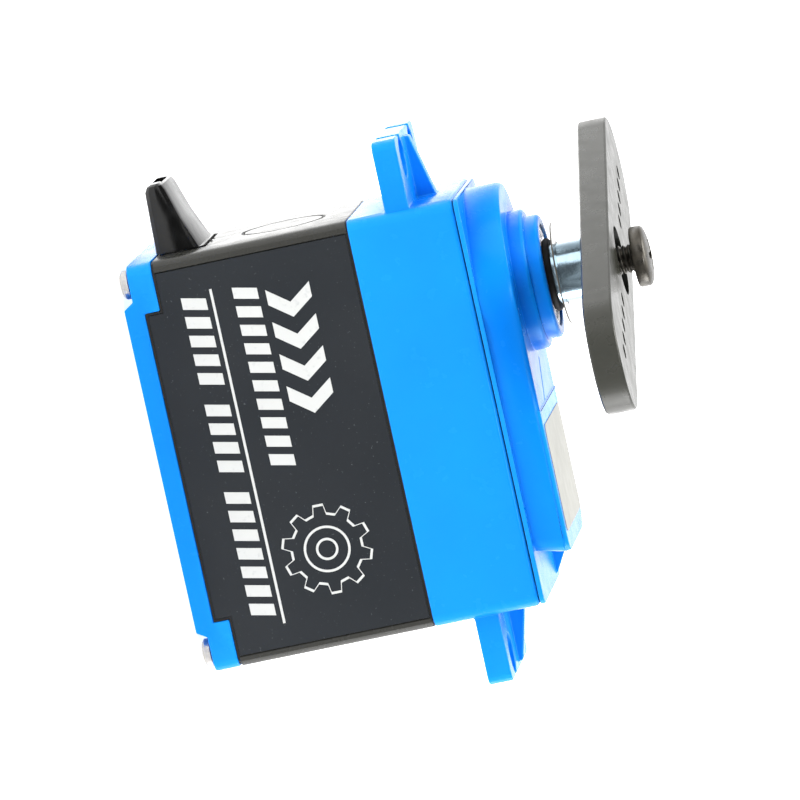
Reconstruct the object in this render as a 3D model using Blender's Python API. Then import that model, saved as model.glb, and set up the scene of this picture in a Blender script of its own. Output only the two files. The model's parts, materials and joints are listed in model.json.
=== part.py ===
"""Standard-size waterproof hobby servo motor with a double-arm horn.

The servo stands on its bottom cover, with the output shaft pointing up. X runs along the case, with
the output shaft and the cable boot at the -X end, and the printed label is on the -Y side. The origin
is in the middle of the flat underside.
"""

import math

import bmesh
import bpy
from mathutils import Matrix

MM = 0.001

# Case
CASE_LENGTH = 40.7 * MM
CASE_WIDTH = 20.5 * MM
CASE_CORNER = 1.2 * MM
WALL = 1.3 * MM
SEAM = 0.3 * MM
GASKET = 0.2 * MM
FIT = 0.1 * MM

# Heights of the case layers, from the underside
RECESS_TOP = 1.0 * MM
BOTTOM_FLOOR = 1.2 * MM
BOTTOM_RIM = 1.9 * MM
LUG_TOP = 3.45 * MM
LUG_START = 15.5 * MM
RECESS_START = 16.2 * MM
MIDDLE_TOP = 22.85 * MM
GEAR_CASE_TOP = 33.55 * MM
FLANGE_TOP = 34.45 * MM
PLATFORM_TOP = 37.3 * MM
PAD_TOP = 37.9 * MM
CEILING = 36.0 * MM
BOSS_STEP = 39.1 * MM
BOSS_TOP = 40.5 * MM
DECK_TOP = 24.5 * MM

# Corner screws
SCREW_X = 18.5 * MM
SCREW_Y = 8.4 * MM
SCREW_RADIUS = 0.85 * MM
SCREW_HEAD_RADIUS = 1.45 * MM
SCREW_TIP = 33.0 * MM
POST_RADIUS = 2.0 * MM
TOP_POST_RADIUS = 1.4 * MM
TOP_POST_BOTTOM = 30.1 * MM

# Mounting ears
EAR_BOTTOM = 26.9 * MM
EAR_TOP = 29.3 * MM
EAR_TIP = 27.15 * MM
EAR_HALF_WIDTH = 9.4 * MM
EAR_HOLE_X = 24.85 * MM
EAR_HOLE_Y = 5.0 * MM
EAR_HOLE_RADIUS = 2.0 * MM
EAR_MOUTH = 1.4 * MM
EAR_ROOT = CASE_LENGTH / 2 - 0.6 * MM

# Axes: output shaft, idler pin and motor, all on Y = 0
OUTPUT_X = -10.15 * MM
GEAR_MODULE = 0.4 * MM
MOTOR_MODULE = 0.3 * MM
MOTOR_TEETH, FIRST_TEETH = 10, 54
FIRST_PINION, SECOND_TEETH = 11, 42
SECOND_PINION, THIRD_TEETH = 12, 41
THIRD_PINION, OUTPUT_TEETH = 12, 41
IDLER_X = OUTPUT_X + GEAR_MODULE * (THIRD_PINION + OUTPUT_TEETH) / 2
MOTOR_X = IDLER_X + MOTOR_MODULE * (MOTOR_TEETH + FIRST_TEETH) / 2
PRESSURE_ANGLE = math.radians(20)
PINION_SHIFT = 0.45
BACKLASH = 0.05 * MM
TIP_RELIEF = 0.05 * MM

# Output shaft, horn and its screw
SHAFT_RADIUS = 2.95 * MM
SHAFT_TOP = 46.2 * MM
STEM_RADIUS = 1.45 * MM
SPLINE_TEETH = 25
HORN_BOTTOM = 44.65 * MM
HORN_TOP = 47.53 * MM
HORN_ARM = 18.0 * MM
HORN_RADIUS = 5.9 * MM
HORN_ANGLE = math.radians(-67.9)
HORN_SEAT = 46.35 * MM
COUNTERBORE_RADIUS = 3.45 * MM
HORN_HOLE_RADIUS = 0.75 * MM
HORN_HOLES = [8.0 * MM, 10.6 * MM, 13.2 * MM, 15.8 * MM, 18.4 * MM]
HORN_SCREW_HEAD = 49.0 * MM
HORN_SCREW_TOP = 50.4 * MM

# Motor
MOTOR_RADIUS = 8.0 * MM
MOTOR_BOTTOM = 5.6 * MM
MOTOR_TOP = 22.7 * MM
MOTOR_SCREW_Y = 5.0 * MM

# Control board
BOARD_BOTTOM = 3.6 * MM
BOARD_TOP = 4.8 * MM

# Steps in a full circle, in a small full circle and in a rounded corner
ROUND = 28
SMALL_ROUND = 14
QUARTER = 3


# Materials


def make_material(name, colour, roughness, metallic=0.0):
    material = bpy.data.materials.new(name)
    material.use_nodes = True
    shader = material.node_tree.nodes["Principled BSDF"]
    shader.inputs["Base Color"].default_value = (*colour, 1.0)
    shader.inputs["Roughness"].default_value = roughness
    shader.inputs["Metallic"].default_value = metallic
    material.diffuse_color = (*colour, 1.0)
    return material


def make_materials():
    table = {
        "blue_plastic": ((0.012, 0.215, 0.84), 0.38, 0.0),
        "black_plastic": ((0.018, 0.018, 0.020), 0.45, 0.0),
        "label_film": ((0.014, 0.018, 0.026), 0.35, 0.0),
        "black_rubber": ((0.010, 0.010, 0.010), 0.75, 0.0),
        "horn_plastic": ((0.085, 0.085, 0.078), 0.50, 0.0),
        "shaft_steel": ((0.56, 0.58, 0.62), 0.22, 1.0),
        "zinc_steel": ((0.52, 0.50, 0.47), 0.38, 1.0),
        "black_steel": ((0.030, 0.028, 0.026), 0.35, 0.8),
        "gear_steel": ((0.40, 0.40, 0.42), 0.30, 1.0),
        "gear_brass": ((0.72, 0.52, 0.20), 0.30, 1.0),
        "bearing_steel": ((0.62, 0.62, 0.64), 0.18, 1.0),
        "motor_steel": ((0.48, 0.49, 0.50), 0.32, 1.0),
        "ferrite": ((0.035, 0.033, 0.032), 0.65, 0.0),
        "copper": ((0.70, 0.30, 0.14), 0.35, 1.0),
        "board_green": ((0.010, 0.110, 0.045), 0.45, 0.0),
        "chip_black": ((0.014, 0.014, 0.015), 0.50, 0.0),
        "capacitor_sleeve": ((0.020, 0.030, 0.110), 0.35, 0.0),
        "sensor_green": ((0.030, 0.170, 0.090), 0.45, 0.0),
        "wire_white": ((0.75, 0.74, 0.70), 0.50, 0.0),
    }
    return {name: make_material(name, *values) for name, values in table.items()}


# Outlines: lists of (x, y) in order, anticlockwise


def arc(centre_x, centre_y, radius, start, end, steps):
    angles = [math.radians(start + (end - start) * i / steps) for i in range(steps + 1)]
    return [(centre_x + radius * math.cos(a), centre_y + radius * math.sin(a)) for a in angles]


def circle(radius, steps=ROUND):
    return arc(0, 0, radius, 0, 360 - 360 / steps, steps - 1)


def rectangle(x0, x1, y0, y1):
    return [(x0, y0), (x1, y0), (x1, y1), (x0, y1)]


def rounded_rectangle(x0, x1, y0, y1, radius, steps=QUARTER):
    centres = [(x1 - radius, y0 + radius, -90), (x1 - radius, y1 - radius, 0),
               (x0 + radius, y1 - radius, 90), (x0 + radius, y0 + radius, 180)]
    outline = []
    for x, y, start in centres:
        outline += arc(x, y, radius, start, start + 90, steps)
    return outline


def case_outline(inset=0.0):
    half_x = CASE_LENGTH / 2 - inset
    half_y = CASE_WIDTH / 2 - inset
    return rounded_rectangle(-half_x, half_x, -half_y, half_y, CASE_CORNER - inset)


def cavity_outline():
    """The inside of the case walls, which bulge inwards round the four corner screws."""
    inner_x = CASE_LENGTH / 2 - WALL
    inner_y = CASE_WIDTH / 2 - WALL
    side_angle = math.degrees(math.asin((inner_y - SCREW_Y) / POST_RADIUS))
    end_angle = math.degrees(math.acos((inner_x - SCREW_X) / POST_RADIUS))
    outline = []
    for quadrant, (sign_x, sign_y) in enumerate([(1, 1), (-1, 1), (-1, -1), (1, -1)]):
        bulge = arc(0, 0, POST_RADIUS, 360 - end_angle, 180 - side_angle, 5)
        bulge = [(sign_x * (SCREW_X + x), sign_y * (SCREW_Y + y)) for x, y in bulge]
        outline += bulge if quadrant % 2 == 0 else bulge[::-1]
    return outline


def platform_outline(inset=0.0):
    """The raised top: a round end about the output shaft and a straight part to the other end."""
    radius = 10.0 * MM - inset
    half_y = 9.6 * MM - inset
    end_x = 15.2 * MM - inset
    join = math.degrees(math.asin(half_y / radius))
    far = 3.5 * MM - inset
    near = 1.5 * MM - inset
    outline = arc(OUTPUT_X, 0, radius, join, 360 - join, 24)
    outline += arc(end_x - near, -half_y + near, near, -90, 0, QUARTER)
    outline += arc(end_x - far, half_y - far, far, 0, 90, QUARTER + 2)
    return outline


def ear_outline():
    """One mounting ear on the +X side, with two open keyhole slots."""
    mouth = math.degrees(math.asin(EAR_MOUTH / 2 / EAR_HOLE_RADIUS))
    corner = 1.0 * MM
    outline = [(EAR_ROOT, -EAR_HALF_WIDTH)]
    outline += arc(EAR_TIP - corner, -EAR_HALF_WIDTH + corner, corner, -90, 0, QUARTER)
    for y in (-EAR_HOLE_Y, EAR_HOLE_Y):
        outline.append((EAR_TIP, y - EAR_MOUTH / 2))
        outline += arc(EAR_HOLE_X, y, EAR_HOLE_RADIUS, -mouth, -360 + mouth, 14)
        outline.append((EAR_TIP, y + EAR_MOUTH / 2))
    outline += arc(EAR_TIP - corner, EAR_HALF_WIDTH - corner, corner, 0, 90, QUARTER)
    outline.append((EAR_ROOT, EAR_HALF_WIDTH))
    return outline


def involute(angle):
    return math.tan(angle) - angle


def gear_outline(teeth, module, shift, tooth_angle, flank_steps):
    """An involute spur gear with one tooth centred on tooth_angle, in degrees."""
    pitch = module * teeth / 2
    base = pitch * math.cos(PRESSURE_ANGLE)
    tip = pitch + module * (1 + shift) - TIP_RELIEF
    root = pitch - module * (1.25 - shift)
    half_tooth = (math.pi / 2 + 2 * shift * math.tan(PRESSURE_ANGLE)) / teeth - BACKLASH / 2 / pitch
    start = max(base, root)
    if flank_steps == 1:
        radii = [root, tip]
    else:
        radii = [root] if root < base else []
        radii += [start + (tip - start) * i / flank_steps for i in range(flank_steps + 1)]

    def half_angle(radius):
        local = math.acos(min(1.0, base / radius))
        return half_tooth + involute(PRESSURE_ANGLE) - involute(local)

    outline = []
    for tooth in range(teeth):
        centre = math.radians(tooth_angle) + 2 * math.pi * tooth / teeth
        rising = [(r, centre - half_angle(max(r, start))) for r in radii]
        falling = [(r, centre + half_angle(max(r, start))) for r in reversed(radii)]
        outline += [(r * math.cos(a), r * math.sin(a)) for r, a in rising + falling]
    return outline


def wheel_outline(teeth, module, gap_angle):
    """A large gear with the middle of a tooth gap at gap_angle."""
    return gear_outline(teeth, module, -PINION_SHIFT, gap_angle + 180 / teeth, 1)


def pinion_outline(teeth, module, tooth_angle):
    return gear_outline(teeth, module, PINION_SHIFT, tooth_angle, 2)


def spline_outline(inner, outer):
    """A 25-tooth spline with sloping flanks."""
    outline = []
    for tooth in range(SPLINE_TEETH):
        for radius, step in ((inner, -0.36), (outer, -0.14), (outer, 0.14), (inner, 0.36)):
            angle = 2 * math.pi * (tooth + step) / SPLINE_TEETH
            outline.append((radius * math.cos(angle), radius * math.sin(angle)))
    return outline


def horn_outline():
    """Two equal arms with round ends, along HORN_ANGLE through the shaft."""
    outline = []
    for turn in (0, 180):
        tip = HORN_ANGLE + math.radians(turn)
        degrees = math.degrees(tip)
        outline += arc(HORN_ARM * math.cos(tip), HORN_ARM * math.sin(tip), HORN_RADIUS,
                       degrees - 90, degrees + 90, 12)
    return outline


# Solids: bmesh builders


def loft(sections):
    """A closed solid through rings of 3D points, all of the same length."""
    mesh = bmesh.new()
    rings = [[mesh.verts.new(point) for point in section] for section in sections]
    mesh.faces.new(rings[0])
    mesh.faces.new(rings[-1])
    for lower, upper in zip(rings, rings[1:]):
        for i in range(len(lower)):
            j = (i + 1) % len(lower)
            mesh.faces.new((lower[i], lower[j], upper[j], upper[i]))
    return mesh


def prism(outline, bottom, top):
    return loft([[(x, y, z) for x, y in outline] for z in (bottom, top)])


def chamfered_prism(outline, inset_outline, bottom, top, chamfer):
    """A prism whose top edge slopes in to inset_outline."""
    levels = ((outline, bottom), (outline, top - chamfer), (inset_outline, top))
    return loft([[(x, y, z) for x, y in shape] for shape, z in levels])


def box(x0, x1, y0, y1, z0, z1):
    return prism(rectangle(x0, x1, y0, y1), z0, z1)


def side_slab(outline, y0, y1):
    """An (x, z) outline given thickness along Y."""
    return loft([[(x, y, z) for x, z in outline] for y in (y0, y1)])


def turned(profile, steps=ROUND):
    """A solid of revolution about Z from (radius, z) points. A profile off the axis makes a ring."""
    mesh = bmesh.new()
    rings = []
    for radius, z in profile:
        if radius == 0:
            rings.append([mesh.verts.new((0, 0, z))])
            continue
        rings.append([mesh.verts.new((x, y, z)) for x, y in circle(radius, steps)])
    pairs = list(zip(rings, rings[1:]))
    if profile[0][0] > 0:
        pairs.append((rings[-1], rings[0]))
    for first, second in pairs:
        for i in range(steps):
            j = (i + 1) % steps
            corners = [first[i % len(first)], first[j % len(first)], second[j % len(second)],
                       second[i % len(second)]]
            mesh.faces.new(list(dict.fromkeys(corners)))
    return mesh


def cylinder(radius, bottom, top, steps=ROUND):
    return turned([(0, top), (radius, top), (radius, bottom), (0, bottom)], steps)


def tube(inner, outer, bottom, top, steps=ROUND):
    return turned([(outer, top), (outer, bottom), (inner, bottom), (inner, top)], steps)


def moved(mesh, x=0.0, y=0.0, z=0.0):
    bmesh.ops.translate(mesh, verts=mesh.verts, vec=(x, y, z))
    return mesh


def rotated(mesh, angle, axis):
    bmesh.ops.rotate(mesh, verts=mesh.verts, cent=(0, 0, 0), matrix=Matrix.Rotation(angle, 3, axis))
    return mesh


def together(meshes):
    """Several separate shapes in one mesh, for a cutter with several bodies."""
    joined = bmesh.new()
    for mesh in meshes:
        scratch = bpy.data.meshes.new("scratch")
        mesh.to_mesh(scratch)
        mesh.free()
        joined.from_mesh(scratch)
        bpy.data.meshes.remove(scratch)
    return joined


# Objects


def add_object(name, mesh, material=None, axis_x=0.0):
    bmesh.ops.recalc_face_normals(mesh, faces=mesh.faces)
    data = bpy.data.meshes.new(name)
    mesh.to_mesh(data)
    mesh.free()
    data.shade_smooth()
    data.set_sharp_from_angle(angle=math.radians(32))
    solid = bpy.data.objects.new(name, data)
    solid.location.x = axis_x
    bpy.context.scene.collection.objects.link(solid)
    if material:
        data.materials.append(material)
    return solid


def boolean(target, operation, mesh, label):
    helper = add_object(f"{target.name}_{label}", mesh, axis_x=target.location.x)
    helper.hide_render = True
    helper.display_type = "WIRE"
    modifier = target.modifiers.new(label, "BOOLEAN")
    modifier.operation = operation
    modifier.solver = "EXACT"
    modifier.object = helper


def carve(target, mesh, label):
    boolean(target, "DIFFERENCE", mesh, label)


def merge(target, mesh, label):
    boolean(target, "UNION", mesh, label)


def screw_places():
    return [(x, y) for x in (-SCREW_X, SCREW_X) for y in (-SCREW_Y, SCREW_Y)]


def at_screws(make_mesh):
    return together([moved(make_mesh(), x, y) for x, y in screw_places()])


def cross_recess(width, reach, bottom, top):
    """The two crossed slots of a cross-head screw, as one outline."""
    a, b = width / 2, reach
    outline = [(b, -a), (b, a), (a, a), (a, b), (-a, b), (-a, a),
               (-b, a), (-b, -a), (-a, -a), (-a, -b), (a, -b), (a, -a)]
    return prism(outline, bottom, top)


# Case


def bottom_cover(paint):
    far_x, far_y = CASE_LENGTH, CASE_WIDTH
    cover = add_object("bottom_cover", prism(case_outline(), 0, LUG_TOP), paint["blue_plastic"])
    carve(cover, box(-LUG_START, LUG_START, -far_y, far_y, BOTTOM_RIM, 2 * LUG_TOP), "low_rim")
    slope = 0.6 * MM
    ends = [side_slab([(side * RECESS_START, -1 * MM), (side * far_x, -1 * MM),
                       (side * far_x, RECESS_TOP), (side * (RECESS_START + slope), RECESS_TOP),
                       (side * RECESS_START, 0)], -far_y, far_y) for side in (-1, 1)]
    carve(cover, together(ends), "end_recesses")
    carve(cover, prism(cavity_outline(), 2.2 * MM, 2 * LUG_TOP), "cavity")
    pocket_y = CASE_WIDTH / 2 - WALL
    carve(cover, box(-15 * MM, 15 * MM, -pocket_y, pocket_y, BOTTOM_FLOOR, 2.6 * MM), "pocket")
    carve(cover, at_screws(lambda: cylinder(1.05 * MM, -1 * MM, 5 * MM, SMALL_ROUND)), "screw_holes")
    posts = [moved(cylinder(0.9 * MM, 0.9 * MM, BOARD_BOTTOM - 0.15 * MM, SMALL_ROUND), x, y)
             for x in (-13.6 * MM, 13.6 * MM) for y in (-6.6 * MM, 6.6 * MM)]
    merge(cover, together(posts), "board_posts")


def bottom_gasket(paint):
    """A thin seal that follows the stepped rim between the bottom cover and the middle case."""
    low = (SEAM - GASKET) / 2
    end_x = CASE_LENGTH
    step_x = LUG_START - low
    lower = [(-end_x, LUG_TOP + low), (-step_x, LUG_TOP + low), (-step_x, BOTTOM_RIM + low),
             (step_x, BOTTOM_RIM + low), (step_x, LUG_TOP + low), (end_x, LUG_TOP + low)]
    upper = [(end_x, LUG_TOP + low + GASKET), (step_x - GASKET, LUG_TOP + low + GASKET),
             (step_x - GASKET, BOTTOM_RIM + low + GASKET), (GASKET - step_x, BOTTOM_RIM + low + GASKET),
             (GASKET - step_x, LUG_TOP + low + GASKET), (-end_x, LUG_TOP + low + GASKET)]
    seal = add_object("bottom_gasket", side_slab(lower + upper, -CASE_WIDTH, CASE_WIDTH),
                      paint["black_rubber"])
    boolean(seal, "INTERSECT", prism(case_outline(0.15 * MM), -1 * MM, 9 * MM), "outline")
    carve(seal, prism(cavity_outline(), -2 * MM, 10 * MM), "cavity")
    carve(seal, at_screws(lambda: cylinder(1.1 * MM, -1 * MM, 8 * MM, SMALL_ROUND)), "screw_holes")


def flat_gasket(name, paint, bottom):
    seal = add_object(name, prism(case_outline(0.15 * MM), bottom, bottom + GASKET),
                      paint["black_rubber"])
    carve(seal, prism(cavity_outline(), bottom - MM, bottom + MM), "cavity")
    radius = 1.1 * MM if bottom < GEAR_CASE_TOP else TOP_POST_RADIUS + FIT
    holes = at_screws(lambda: cylinder(radius, bottom - MM, bottom + MM, SMALL_ROUND))
    carve(seal, holes, "screw_holes")


def middle_case(paint):
    start = BOTTOM_RIM + SEAM
    case = add_object("middle_case", prism(case_outline(), start, MIDDLE_TOP), paint["black_plastic"])
    step_x = LUG_START - SEAM
    far = CASE_LENGTH
    notches = [box(x0, x1, -far, far, 0, LUG_TOP + SEAM) for x0, x1 in ((-far, -step_x), (step_x, far))]
    carve(case, together(notches), "lug_notches")
    carve(case, prism(cavity_outline(), 0, 30 * MM), "cavity")
    carve(case, at_screws(lambda: cylinder(1.05 * MM, 0, 30 * MM, SMALL_ROUND)), "screw_holes")
    label_recess = box(-19.2 * MM, 19.3 * MM, -far, -CASE_WIDTH / 2 + 0.25 * MM, 0, 30 * MM)
    carve(case, label_recess, "label_recess")
    boot_slot = box(-far, -17 * MM, -5.65 * MM, 5.65 * MM, 0, 8.45 * MM)
    carve(case, boot_slot, "boot_slot")
    ring = rotated(tube(3.95 * MM, 4.2 * MM, -0.15 * MM, MM, 36), math.radians(-90), "Y")
    carve(case, moved(ring, -CASE_LENGTH / 2, 0, 15.8 * MM), "round_mark")


def side_label(paint):
    left, right = -19.1 * MM, 19.2 * MM
    notch = LUG_START - SEAM
    low = BOTTOM_RIM + SEAM
    step = LUG_TOP + SEAM
    top = MIDDLE_TOP - FIT
    outline = [(left, step), (-notch, step), (-notch, low), (notch, low), (notch, step),
               (right, step), (right, top), (left, top)]
    face = -CASE_WIDTH / 2 + 0.05 * MM
    add_object("side_label", side_slab(outline, face, face + 0.15 * MM), paint["label_film"])


def cable_boot(paint):
    """The rubber boot at the cable outlet: a wedge outside, a neck in the wall and a flange inside."""
    stations = [  # x, half width, bottom, top
        (-27.20, 4.10, 4.65, 5.45), (-27.00, 4.50, 4.25, 5.85), (-26.50, 4.75, 3.98, 6.15),
        (-23.50, 5.15, 3.90, 7.10), (-20.47, 5.60, 3.88, 8.35), (-20.45, 5.50, 3.90, 8.25),
        (-18.97, 5.50, 3.90, 8.25), (-18.95, 6.15, 3.90, 9.40), (-18.10, 6.15, 3.90, 9.40)]
    sections = []
    for x, half_width, bottom, top in stations:
        corner = min(1.1, 0.45 * (top - bottom))
        ring = rounded_rectangle(-half_width * MM, half_width * MM, bottom * MM, top * MM, corner * MM)
        sections.append([(x * MM, y, z) for y, z in ring])
    boot = add_object("cable_boot", loft(sections), paint["black_rubber"])
    passage = box(-30 * MM, -15 * MM, -2.1 * MM, 2.1 * MM, 4.6 * MM, 5.6 * MM)
    carve(boot, passage, "cable_passage")


def gear_case(paint):
    bottom = MIDDLE_TOP + SEAM
    shell = chamfered_prism(case_outline(), case_outline(0.25 * MM), bottom, GEAR_CASE_TOP, 0.3 * MM)
    case = add_object("gear_case", shell, paint["blue_plastic"])
    ears = []
    webs = []
    web = [(EAR_ROOT, EAR_TOP - 0.5 * MM), (26.5 * MM, EAR_TOP - 0.5 * MM),
           (26.5 * MM, EAR_TOP + 0.5 * MM), (EAR_ROOT, EAR_TOP + 2.1 * MM)]
    for turn in (0, math.pi):
        ears.append(rotated(prism(ear_outline(), EAR_BOTTOM, EAR_TOP), turn, "Z"))
        webs.append(rotated(side_slab(web, -0.9 * MM, 0.9 * MM), turn, "Z"))
    merge(case, together(ears), "ears")
    merge(case, together(webs), "ear_webs")
    carve(case, prism(cavity_outline(), DECK_TOP, 40 * MM), "cavity")
    merge(case, moved(tube(5.2 * MM, 6.3 * MM, 16.6 * MM, bottom + 0.3 * MM), OUTPUT_X), "sensor_skirt")
    merge(case, moved(cylinder(4.3 * MM, 21.6 * MM, bottom + 0.5 * MM), OUTPUT_X), "bearing_boss")
    carve(case, box(OUTPUT_X - 2 * MM, OUTPUT_X + 2 * MM, -8 * MM, 8 * MM, 15 * MM, 20.5 * MM),
          "skirt_windows")
    seat = turned([(0, 26 * MM), (3.1 * MM, 26 * MM), (3.1 * MM, 22 * MM), (2.3 * MM, 22 * MM),
                   (2.3 * MM, 20 * MM), (0, 20 * MM)])
    holes = [moved(seat, OUTPUT_X),
             moved(cylinder(1.08 * MM, 23.55 * MM, 26 * MM, SMALL_ROUND), IDLER_X),
             moved(cylinder(2.7 * MM, 20 * MM, 26 * MM), MOTOR_X)]
    holes += [moved(cylinder(0.95 * MM, 20 * MM, 26 * MM, SMALL_ROUND), MOTOR_X, y)
              for y in (-MOTOR_SCREW_Y, MOTOR_SCREW_Y)]
    carve(case, together(holes), "deck_holes")
    socket = TOP_POST_RADIUS + FIT
    step = TOP_POST_BOTTOM - FIT
    stepped = [(0, 40 * MM), (socket, 40 * MM), (socket, step), (1.05 * MM, step),
               (1.05 * MM, 20 * MM), (0, 20 * MM)]
    carve(case, at_screws(lambda: turned(stepped, SMALL_ROUND)), "screw_holes")


def top_cover(paint):
    bottom = GEAR_CASE_TOP + SEAM
    flange = prism(case_outline(0.1 * MM), bottom, FLANGE_TOP)
    cover = add_object("top_cover", flange, paint["blue_plastic"])
    platform = chamfered_prism(platform_outline(), platform_outline(0.25 * MM), bottom + FIT,
                               PLATFORM_TOP, 0.25 * MM)
    merge(cover, platform, "platform")
    pad = [(x, y) for x, y in platform_outline(0.05 * MM) if x > 1.7 * MM]
    pad = [(1.7 * MM, -9.5 * MM)] + pad + [(1.7 * MM, 9.5 * MM)]
    merge(cover, prism(pad, PLATFORM_TOP - 0.5 * MM, PAD_TOP), "pad")
    rib = [(14 * MM, FLANGE_TOP - 0.3 * MM), (19.6 * MM, FLANGE_TOP - 0.3 * MM),
           (19.6 * MM, FLANGE_TOP + 0.1 * MM), (14 * MM, 36.9 * MM)]
    merge(cover, side_slab(rib, 6.2 * MM, 9.3 * MM), "corner_rib")
    boss = turned([(0, BOSS_TOP), (5.9 * MM, BOSS_TOP), (6.15 * MM, BOSS_TOP - 0.25 * MM),
                   (6.15 * MM, BOSS_STEP), (6.7 * MM, BOSS_STEP), (6.95 * MM, BOSS_STEP - 0.25 * MM),
                   (6.95 * MM, PLATFORM_TOP - MM), (0, PLATFORM_TOP - MM)], 36)
    merge(cover, moved(boss, OUTPUT_X), "boss")
    merge(cover, at_screws(lambda: cylinder(TOP_POST_RADIUS, TOP_POST_BOTTOM, bottom + 0.2 * MM, SMALL_ROUND)),
          "corner_posts")
    carve(cover, prism(platform_outline(1.3 * MM), bottom - MM, CEILING), "cavity")
    merge(cover, moved(cylinder(2.2 * MM, 34.6 * MM, CEILING + 0.3 * MM, 24), IDLER_X), "pin_socket")
    carve(cover, moved(cylinder(1.08 * MM, 34 * MM, 35.8 * MM, 20), IDLER_X), "pin_hole")
    carve(cover, moved(cylinder(4.0 * MM, 35 * MM, 38 * MM), OUTPUT_X), "shaft_hole")
    carve(cover, moved(cylinder(5.1 * MM, 37.2 * MM, 42 * MM), OUTPUT_X), "bearing_seat")
    carve(cover, at_screws(lambda: cylinder(0.95 * MM, 29 * MM, 33.4 * MM, SMALL_ROUND)), "screw_holes")
    slit = rotated(box(-2.6 * MM, 2.6 * MM, -0.2 * MM, 0.2 * MM, PLATFORM_TOP - 0.35 * MM, 39 * MM),
                   math.radians(-39), "Z")
    carve(cover, moved(slit, -0.45 * MM, -1.0 * MM), "slit")


def case_screws(paint):
    head_bottom = 0.1 * MM
    for number, (x, y) in enumerate(screw_places(), 1):
        profile = [(0, SCREW_TIP), (0.45 * MM, SCREW_TIP), (SCREW_RADIUS, SCREW_TIP - 0.6 * MM),
                   (SCREW_RADIUS, RECESS_TOP - FIT), (SCREW_HEAD_RADIUS, RECESS_TOP - FIT),
                   (SCREW_HEAD_RADIUS, 0.35 * MM), (1.1 * MM, head_bottom), (0, head_bottom)]
        screw = add_object(f"case_screw_{number}", turned(profile, SMALL_ROUND), paint["zinc_steel"])
        screw.location = (x, y, 0)
        recess = cross_recess(0.35 * MM, 0.85 * MM, -0.5 * MM, 0.55 * MM)
        carve(screw, recess, "recess")
        screw.modifiers["recess"].object.location = screw.location


# Electronics


def control_board(paint):
    outline = rectangle(-16.2 * MM, 16.2 * MM, -8.5 * MM, 8.5 * MM)
    board = add_object("control_board", prism(outline, BOARD_BOTTOM, BOARD_TOP), paint["board_green"])
    slots = [moved(box(-1.1 * MM, 1.1 * MM, -0.45 * MM, 0.45 * MM, 2 * MM, 6 * MM), MOTOR_X, y)
             for y in (-6.2 * MM, 6.2 * MM)]
    carve(board, together(slots), "terminal_slots")
    chip = box(-2.5 * MM, 2.5 * MM, -2.5 * MM, 2.5 * MM, BOARD_TOP + FIT, BOARD_TOP + MM)
    add_object("microcontroller", moved(chip, -12 * MM, -4 * MM), paint["chip_black"])
    for number, y in enumerate((-3.6 * MM, 3.6 * MM), 1):
        driver = box(-2 * MM, 2 * MM, -2.5 * MM, 2.5 * MM, BOARD_BOTTOM - 1.3 * MM, BOARD_BOTTOM - FIT)
        add_object(f"motor_driver_{number}", moved(driver, 5 * MM, y), paint["chip_black"])
    can = turned([(0, 11.4 * MM), (2.2 * MM, 11.4 * MM), (2.5 * MM, 11.1 * MM), (2.5 * MM, 5.9 * MM),
                  (2.3 * MM, 5.6 * MM), (2.5 * MM, 5.3 * MM), (2.5 * MM, 4.95 * MM), (0, 4.95 * MM)], 24)
    add_object("board_capacitor", moved(can, -12.4 * MM, 4.4 * MM), paint["capacitor_sleeve"])


def position_sensor(paint):
    body = turned([(5.0 * MM, 18.6 * MM), (5.0 * MM, 13.7 * MM), (4.7 * MM, 13.4 * MM),
                   (1.65 * MM, 13.4 * MM), (1.65 * MM, 18.9 * MM), (4.7 * MM, 18.9 * MM)], 32)
    add_object("potentiometer_body", body, paint["sensor_green"], OUTPUT_X)
    shaft = turned([(0, 19.9 * MM), (1.6 * MM, 19.9 * MM), (1.6 * MM, 21.35 * MM), (2.6 * MM, 21.35 * MM),
                    (2.6 * MM, 19.2 * MM), (1.5 * MM, 19.2 * MM), (1.5 * MM, 13.6 * MM), (0, 13.6 * MM)],
                   24)
    add_object("potentiometer_shaft", shaft, paint["shaft_steel"], OUTPUT_X)
    for number, y in enumerate((-2.2 * MM, 0.0, 2.2 * MM), 1):
        steps = 8
        path = bpy.data.curves.new(f"sensor_wire_{number}", "CURVE")
        path.dimensions = "3D"
        path.bevel_depth = 0.4 * MM
        path.bevel_resolution = 2
        path.use_fill_caps = True
        spline = path.splines.new("POLY")
        spline.points.add(steps)
        for i, point in enumerate(spline.points):
            share = i / steps
            x = -6.9 * MM + 1.4 * MM * share + 1.2 * MM * math.sin(math.pi * share)
            point.co = (x, y, (13.1 - 8.1 * share) * MM, 1)
        wire = bpy.data.objects.new(path.name, path)
        path.materials.append(paint["wire_white"])
        bpy.context.scene.collection.objects.link(wire)


# Motor


def rotor_core_outline():
    """Five poles with narrow slots between their tips."""
    outline = []
    poles = 5
    for pole in range(poles):
        middle = 360 / poles * pole
        outline += arc(0, 0, 5.8 * MM, middle - 29, middle + 29, 6)
        outline += arc(0, 0, 4.6 * MM, middle + 27, middle + 27, 1)[:1]
        outline += arc(0, 0, 2.6 * MM, middle + 20, middle + 52, 2)
        outline += arc(0, 0, 4.6 * MM, middle + 45, middle + 45, 1)[:1]
    return outline


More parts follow.
